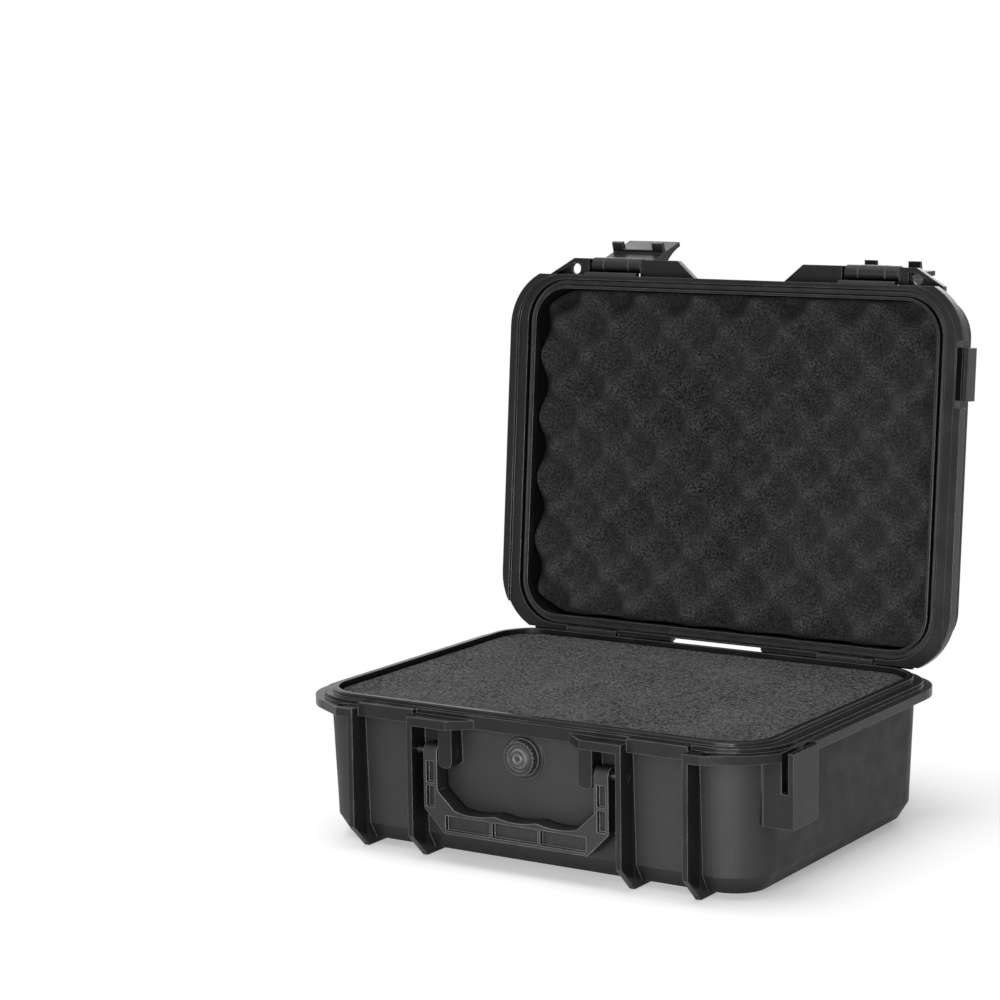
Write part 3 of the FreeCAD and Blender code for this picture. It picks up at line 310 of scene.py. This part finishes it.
def add_piece(name, points, faces, material, body, node=None, smooth=True):
    """New mesh that rides on a body, takes a slot's finish and may stand for a CAD node."""
    mesh = bpy.data.meshes.new(name)
    mesh.from_pydata(points, [], faces)
    mesh.update()
    mesh.polygons.foreach_set("use_smooth", [smooth] * len(mesh.polygons))
    mesh.materials.append(material)
    piece = bpy.data.objects.new(name, mesh)
    scene.collection.objects.link(piece)
    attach(piece, body)
    if node:
        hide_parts(node)
    return piece


def open_with_lid(points):
    """Points drawn for the closed lid, turned to where the open lid has them."""
    turn = Matrix.Rotation(-LID_OPEN, 4, "X")
    turn = Matrix.Translation(HINGE) @ turn @ Matrix.Translation(-HINGE)
    return [turn @ Vector(point) for point in points]


def ripple(x, y, scale, size):
    """Smooth unevenness of a cut face."""
    return noise.noise(Vector((x, y, 0)) * scale) * size


def band(low, high, count):
    """Quads between two rings of points, given by the number of each ring's first point."""
    faces = []
    for number in range(count):
        after = (number + 1) % count
        faces.append((low + number, low + after, high + after, high + number))
    return faces


def stations(half, step):
    """Places from -1 to 1 across a slab, closer together near its two edges."""
    near = [offset / half for offset in (0.0, 0.0003, 0.0008, 0.0015, 0.0024)]
    count = round(2 * half / step)
    inside = 1 - near[-1]
    even = [-inside + 2 * inside * number / count for number in range(1, count)]
    return [-1 + offset for offset in near] + even + [1 - offset for offset in reversed(near)]


def on_slab(u, v, size):
    """Place in a rounded rectangle; the corner squares are drawn in to quarter discs."""
    half_x, half_y, radius = size
    x, y = u * half_x, v * half_y
    p, q = abs(x) - (half_x - radius), abs(y) - (half_y - radius)
    if p > 0 and q > 0:
        x = math.copysign(half_x - radius + p * math.sqrt(1 - (q / radius) ** 2 / 2), x)
        y = math.copysign(half_y - radius + q * math.sqrt(1 - (p / radius) ** 2 / 2), y)
    return x, y


def edge_distance(x, y, size):
    """How far a place lies inside a rounded rectangle."""
    half_x, half_y, radius = size
    p, q = abs(x) - (half_x - radius), abs(y) - (half_y - radius)
    if p > 0 and q > 0:
        return radius - math.hypot(p, q)
    return min(half_x - abs(x), half_y - abs(y))


def slab(size, step, face, sides):
    """Closed slab. face gives the height of its open face at a place; sides are the rings below
    it, each a size and a height, and the last ring is closed flat."""
    us, vs = stations(size[0], step), stations(size[1], step)
    wide, deep = len(us), len(vs)
    points = []
    for v in vs:
        for u in us:
            x, y = on_slab(u, v, size)
            points.append((x, y, face(x, y)))
    faces = [(row * wide + column, row * wide + column + 1,
              (row + 1) * wide + column + 1, (row + 1) * wide + column)
             for row in range(deep - 1) for column in range(wide - 1)]
    rim = [(column, 0) for column in range(wide - 1)]
    rim += [(wide - 1, row) for row in range(deep - 1)]
    rim += [(column, deep - 1) for column in range(wide - 1, 0, -1)]
    rim += [(0, row) for row in range(deep - 1, 0, -1)]
    above = [row * wide + column for column, row in rim]
    for ring_size, height in sides:
        below = list(range(len(points), len(points) + len(rim)))
        for column, row in rim:
            x, y = on_slab(us[column], vs[row], ring_size)
            points.append((x, y, height))
        for number in range(len(rim)):
            after = (number + 1) % len(rim)
            faces.append((above[number], below[number], below[after], above[after]))
        above = below
    faces.append(tuple(reversed(above)))
    return points, faces


def soft_edge(distance, radius):
    """Drop of a rounded edge at a distance from the outline."""
    if distance >= radius:
        return 0.0
    return radius - math.sqrt(max(radius ** 2 - (radius - distance) ** 2, 0.0))


def base_size(inset):
    """Half sizes and corner radius of the base's inner outline, drawn in by an inset."""
    return INNER_X - inset, INNER_Y - inset, INNER_CORNER - inset


def make_base_foam(name, node, low_z, low, top_z, top, levels, step):
    """Cut foam: uneven faces, a soft upper edge and a hollow behind the valve."""
    def face(x, y):
        uneven = ripple(x, y, 45, 0.0003) + ripple(x, y, 300, 0.00018)
        return top_z - abs(uneven) - soft_edge(edge_distance(x, y, top), FOAM_EDGE)

    sides = []
    for number in range(levels - 1, -1, -1):
        share = number / levels
        ring_size = [a + (b - a) * share for a, b in zip(low, top)]
        sides.append((ring_size, low_z + (top_z - low_z) * share))
    points, faces = slab(top, step, face, sides)
    shaped = []
    for x, y, z in points:
        near = math.hypot(x, z - VALVE_Z) / RELIEF_RADIUS
        if y < RELIEF_ZONE_Y and near < 1:
            y += RELIEF_DEPTH * min(1.0, (1 - near) * RELIEF_STEEPNESS)
        shaped.append((x, y, z))
    piece = add_piece(name, shaped, faces, base_foam, "base", node)


def egg(x, y):
    """Egg-crate face: round peaks and broader pits on a staggered grid."""
    wave_x = math.cos(math.pi * (x - EGG_PEAK_X) / EGG_STEP_X)
    wave_y = math.cos(math.pi * (y - EGG_PEAK_Y) / EGG_STEP_Y)
    return EGG_PEAK_Z + EGG_HEIGHT * (1 - ((1 + wave_x * wave_y) / 2) ** 1.2)


def make_lid_foam():
    """Egg-crate foam with soft edges; its back follows the lid's sloped corners."""
    size = base_size(MOUTH_INSET + FOAM_GAP)
    back = base_size(MOUTH_INSET + FOAM_GAP + LID_FOAM_SLOPE)

    def face(x, y):
        uneven = ripple(x, y, 60, 0.0005) + ripple(x, y, 330, 0.0002)
        return egg(x, y) + EGG_CLEARANCE + uneven + soft_edge(edge_distance(x, y, size), EGG_EDGE)

    sides = [(size, LID_FOAM_MOUTH), (size, LID_FOAM_SIDE), (back, LID_FOAM_BACK)]
    points, faces = slab(size, EGG_STEP, face, sides)
    faces = [tuple(reversed(corners)) for corners in faces]
    piece = add_piece(
        "foam_egg_lid", open_with_lid(points), faces, lid_foam, "lid", "lid_foam")


def make_gasket():
    """Seal ring: flat in the groove, rounded sides, two sealing ridges on the open face."""
    middle = TONGUE_WIDTH / 2
    profile = [(-middle, 0.0), (-middle, 0.6), (-1.3e-3, 0.85), (-0.9e-3, 1.0), (-0.5e-3, 0.85),
               (0.0, 0.7), (0.5e-3, 0.85), (0.9e-3, 1.0), (1.3e-3, 0.85), (middle, 0.6), (middle, 0.0)]
    us, vs = stations(INNER_X, 0.003), stations(INNER_Y, 0.003)
    way = [(u, -1) for u in us[:-1]] + [(1, v) for v in vs[:-1]]
    way += [(u, 1) for u in reversed(us[1:])] + [(-1, v) for v in reversed(vs[1:])]
    count = len(way)
    points = []
    for across, share in profile:
        size = base_size(-middle - across)
        points += [(*on_slab(u, v, size), GASKET_TOP - GASKET_THICK * share) for u, v in way]
    faces = []
    for level in range(len(profile)):
        faces += band(level * count, (level + 1) % len(profile) * count, count)
    add_piece("seal_ring", open_with_lid(points), faces, seal, "lid", "lid_gasket")


def make_valve_cap():
    """Turned cap on the knob's face: a middle button and one raised ring, in millimetres."""
    profile = [(1.1, 0.75), (1.5, 0.6), (1.7, 0.1), (2.7, 0.1), (2.9, 0.55), (3.2, 0.7), (3.6, 0.7),
               (3.9, 0.55), (4.1, 0.1), (4.9, 0.05), (5.0, -0.2)]
    count = CAP_FACETS
    points = [(0, -KNOB_FRONT - 0.0008, VALVE_Z)]
    for radius, rise in profile:
        for number in range(count):
            turn = 2 * math.pi * number / count
            points.append((radius / 1000 * math.cos(turn), -KNOB_FRONT - rise / 1000,
                           VALVE_Z + radius / 1000 * math.sin(turn)))
    faces = [(0, 1 + number, 1 + (number + 1) % count) for number in range(count)]
    for level in range(len(profile) - 1):
        faces += band(1 + (level + 1) * count, 1 + level * count, count)
    faces.append(tuple(reversed(range(len(points) - count, len(points)))))
    add_piece("valve_cap", points, faces, fittings, "knob")


def make_latch_sleeves(name, side, body):
    """Hub ends beside a latch's neck: bored rounds with softened rims, on the pin's axis."""
    count = SLEEVE_FACETS
    half_neck, half_width = LATCH_NECK / 2, LATCH_WIDTH / 2 - LATCH_PLAY
    soft = SLEEVE_ROUND
    profile = [(half_neck, PIN_HOLE), (half_neck, LATCH_HUB), (half_width - soft, LATCH_HUB),
               (half_width - soft * 0.3, LATCH_HUB - soft * 0.3), (half_width, LATCH_HUB - soft),
               (half_width, PIN_HOLE)]
    points, faces = [], []
    for end in (-1, 1):
        first = len(points)
        for along, radius in profile:
            for number in range(count):
                turn = end * 2 * math.pi * number / count
                points.append((side * LATCH_X + end * along, LATCH_PIN_Y + radius * math.cos(turn),
                               LATCH_PIN_Z + radius * math.sin(turn)))
        for level in range(len(profile)):
            high = first + (level + 1) % len(profile) * count
            faces += band(first + level * count, high, count)
    add_piece(name, open_with_lid(points), faces, fittings, body, smooth=False)


def add_lid_strip(name, start, end, profile):
    """Straight strip on the lid along X; the profile runs anticlockwise seen from +X."""
    count = len(profile)
    points = [(x, y, z) for x in (start, end) for y, z in profile]
    faces = [(number, (number + 1) % count, (number + 1) % count + count, number + count)
             for number in range(count)]
    faces += [tuple(reversed(range(count))), tuple(range(count, 2 * count))]
    add_piece(name, open_with_lid(points), faces, lid_shell, "lid", smooth=False)


def make_bay_ledge(name, side):
    """Narrow ledge with a sloped foot that closes the lid's edge behind a latch."""
    half = LATCH_WIDTH / 2 + 0.0002
    (near, far), (low, high) = LEDGE_Y, LEDGE_Z
    slope = (far - near) * 0.6
    add_lid_strip(name, side * LATCH_X - half, side * LATCH_X + half, [
        (far, high - 0.0006), (far, low + 0.0012), (far - slope, low), (near, low),
        (near, high), (far - slope * 0.3, high)])


def make_skirts():
    """Thin lip along the lid's back edge, beside the hinges."""
    profile = [(0.1008, 0.0775), (0.1019, 0.0776), (0.1022, 0.0780), (0.1022, 0.0796),
               (0.1016, 0.0804), (0.1008, 0.0806)]
    for number, (start, end) in enumerate(SKIRT_SPANS):
        add_lid_strip(f"hinge_skirt_right_{number}", start, end, profile)
        add_lid_strip(f"hinge_skirt_left_{number}", -end, -start, profile)


make_base_foam(
    "foam_block_base", "base_foam_block",
    low_z=PAD_TOP + FOAM_GAP, low=base_size(BASE_DRAFT + FOAM_GAP),
    top_z=FOAM_TOP, top=base_size(FOAM_GAP), levels=24, step=0.0018)
make_base_foam(
    "foam_pad_base", "base_foam_pad",
    low_z=FLOOR_Z + FOAM_GAP, low=base_size(BASE_DRAFT + CHAMFER + FOAM_GAP),
    top_z=PAD_TOP, top=base_size(BASE_DRAFT + FOAM_GAP), levels=4, step=0.004)
make_lid_foam()
make_gasket()
make_valve_cap()
for label, side, body in (("left", -1, "latch_l"), ("right", 1, "latch_r")):
    make_latch_sleeves(f"latch_sleeves_{label}", side, body)
    make_bay_ledge(f"latch_ledge_{label}", side)
make_skirts()


# Floor, light and camera

def background_rays(tree):
    """1 for the rays that show the background: from the camera, in gloss and through glass."""
    path = tree.nodes.new("ShaderNodeLightPath")
    shown = path.outputs["Is Camera Ray"]
    for label in ("Is Glossy Ray", "Is Transmission Ray"):
        either = tree.nodes.new("ShaderNodeMath")
        either.operation = "MAXIMUM"
        tree.links.new(shown, either.inputs[0])
        tree.links.new(path.outputs[label], either.inputs[1])
        shown = either.outputs[0]
    return shown


def make_floor():
    """White floor that fades out, so that only the shadow near the case is seen."""
    bpy.ops.mesh.primitive_circle_add(
        vertices=96, radius=FLOOR_RADIUS, fill_type="NGON", location=(0, 0, -FLOOR_DROP))
    floor = bpy.context.object
    floor.name = "floor"
    g = Graph("floor_white")
    g.set(Base_Color=FLOOR_COLOUR, Roughness=0.9, Specular_IOR_Level=0.0, Emission_Color=WHITE,
          Emission_Strength=g.math("MULTIPLY", background_rays(g.tree), FLOOR_GLOW),
          Alpha=g.span(g.beyond(g.coords, FOOTPRINT), 0.0, FLOOR_FADE, 1.0, 0.0))
    floor.data.materials.append(g.material)


def make_world():
    """White behind the object, a lower even fill for everything it lights."""
    world = bpy.data.worlds.new("studio")
    scene.world = world
    world.use_nodes = True
    tree = world.node_tree
    fill = tree.nodes["Background"]
    fill.inputs["Color"].default_value = WHITE
    fill.inputs["Strength"].default_value = WORLD_FILL
    white = tree.nodes.new("ShaderNodeBackground")
    white.inputs["Color"].default_value = WHITE
    white.inputs["Strength"].default_value = 1.0
    pick = tree.nodes.new("ShaderNodeMixShader")
    tree.links.new(background_rays(tree), pick.inputs["Fac"])
    tree.links.new(fill.outputs["Background"], pick.inputs[1])
    tree.links.new(white.outputs["Background"], pick.inputs[2])
    tree.links.new(pick.outputs["Shader"], tree.nodes["World Output"].inputs["Surface"])


def soft_light(name, place, target, size, power):
    """Rectangular lamp turned towards a target."""
    data = bpy.data.lights.new(name, "AREA")
    data.shape = "RECTANGLE"
    data.size, data.size_y = size
    data.energy = power
    lamp = bpy.data.objects.new(name, data)
    lamp.location = place
    lamp.rotation_euler = (Vector(target) - Vector(place)).to_track_quat("-Z", "Y").to_euler()
    lamp.visible_camera = False
    scene.collection.objects.link(lamp)


def make_camera():
    """Camera that looks from the right of the handle side, a little above the rim."""
    angles = (CAMERA_TURN, CAMERA_RISE, CAMERA_ROLL)
    turn, rise, roll = (math.radians(angle) for angle in angles)
    flat = math.cos(rise)
    back = Vector((math.sin(turn) * flat, -math.cos(turn) * flat, math.sin(rise)))
    right = Vector((math.cos(turn), math.sin(turn), 0))
    level = Matrix((right, back.cross(right), back)).transposed()
    data = bpy.data.cameras.new("camera")
    data.sensor_width = CAMERA_SENSOR
    data.lens = CAMERA_LENS
    camera = bpy.data.objects.new("camera", data)
    place = Matrix.Translation(CAMERA_TARGET + back * CAMERA_DISTANCE)
    camera.matrix_world = place @ level.to_4x4() @ Matrix.Rotation(roll, 4, "Z")
    scene.collection.objects.link(camera)
    scene.camera = camera


make_floor()
make_world()
for lamp_values in LAMPS:
    soft_light(*lamp_values)
make_camera()
scene.view_settings.view_transform = "Standard"
